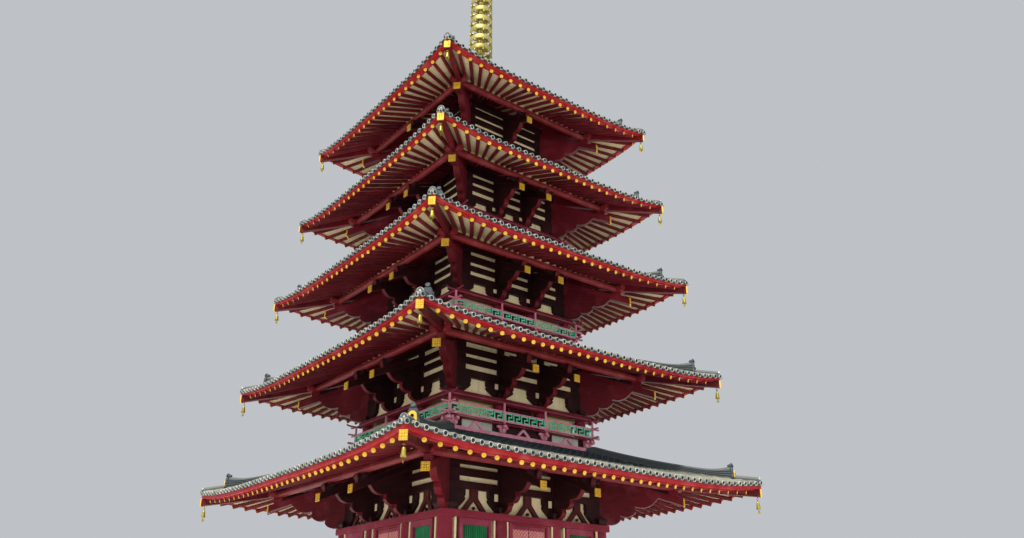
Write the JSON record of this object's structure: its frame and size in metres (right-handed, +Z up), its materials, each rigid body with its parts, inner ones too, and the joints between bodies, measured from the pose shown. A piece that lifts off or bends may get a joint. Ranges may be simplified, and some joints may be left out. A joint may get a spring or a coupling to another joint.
{
  "type": "five-storey timber pagoda",
  "caption": "Square temple pagoda with deep tiled roofs, railed balconies, bracketed eaves, a stone podium with stairs, swinging ground-floor doors and a gilded ringed finial.",
  "frame": {"origin": "at ground level on the vertical axis, in the middle of the podium's underside", "axes": "+Z up along the mast, +X out of the east doorway, -Y out of the south doorway"},
  "size_m": [16.6004, 16.6004, 39.2],
  "materials": {
    "granite": "dressed granite with weathering",
    "red_timber": "vermilion paint on timber",
    "pale_timber": "sun-bleached vermilion paint on timber",
    "plaster": "cream lime plaster",
    "roof_tile": "smoked clay tiles, bleached in places",
    "gilt": "gilded metal"
  },
  "bodies": {
    "tower": {"podium": "granite", "stair_east": "granite", "stair_north": "granite", "stair_west": "granite", "stair_south": "granite", "storey1_frame": "red_timber", "storey1_wall_northeast": "plaster", "storey1_wall_northwest": "plaster", "storey1_wall_southwest": "plaster", "storey1_wall_southeast": "plaster", "doors_north": "pale_timber", "doors_west": "pale_timber", "storey1_upper_wall": "plaster", "storey1_brackets": "red_timber", "storey1_eaves": "red_timber", "storey1_roof": "roof_tile", "storey2_balcony": "pale_timber", "storey2_railing": "pale_timber", "storey2_frame": "red_timber", "storey2_walls": "plaster", "storey2_brackets": "red_timber", "storey2_eaves": "red_timber", "storey2_roof": "roof_tile", "storey3_balcony": "pale_timber", "storey3_railing": "pale_timber", "storey3_frame": "red_timber", "storey3_walls": "plaster", "storey3_brackets": "red_timber", "storey3_eaves": "red_timber", "storey3_roof": "roof_tile", "storey4_balcony": "pale_timber", "storey4_railing": "pale_timber", "storey4_frame": "red_timber", "storey4_walls": "plaster", "storey4_brackets": "red_timber", "storey4_eaves": "red_timber", "storey4_roof": "roof_tile", "storey5_balcony": "pale_timber", "storey5_railing": "pale_timber", "storey5_frame": "red_timber", "storey5_walls": "plaster", "storey5_brackets": "red_timber", "storey5_eaves": "red_timber", "storey5_roof": "roof_tile", "finial_basin": "gilt", "finial_rings": "gilt", "finial_flame": "gilt", "finial_jewels": "gilt"},
    "leaf_east_right": {"door_east_right": "pale_timber"},
    "leaf_east_left": {"door_east_left": "pale_timber"},
    "leaf_south_right": {"door_south_right": "pale_timber"},
    "leaf_south_left": {"door_south_left": "pale_timber"}
  },
  "joints": [
    {"name": "east_right_hinge", "type": "hinge", "parent": "tower", "child": "leaf_east_right", "pos_m": [3.7, 0.75, 1.45], "axis": [0, 0, 1], "range_deg": [0, 95]},
    {"name": "east_left_hinge", "type": "hinge", "parent": "tower", "child": "leaf_east_left", "pos_m": [3.7, -0.75, 1.45], "axis": [0, 0, -1], "range_deg": [0, 95]},
    {"name": "south_right_hinge", "type": "hinge", "parent": "tower", "child": "leaf_south_right", "pos_m": [0.75, -3.7, 1.45], "axis": [0, 0, 1], "range_deg": [0, 95]},
    {"name": "south_left_hinge", "type": "hinge", "parent": "tower", "child": "leaf_south_left", "pos_m": [-0.75, -3.7, 1.45], "axis": [0, 0, -1], "range_deg": [0, 95]}
  ]
}
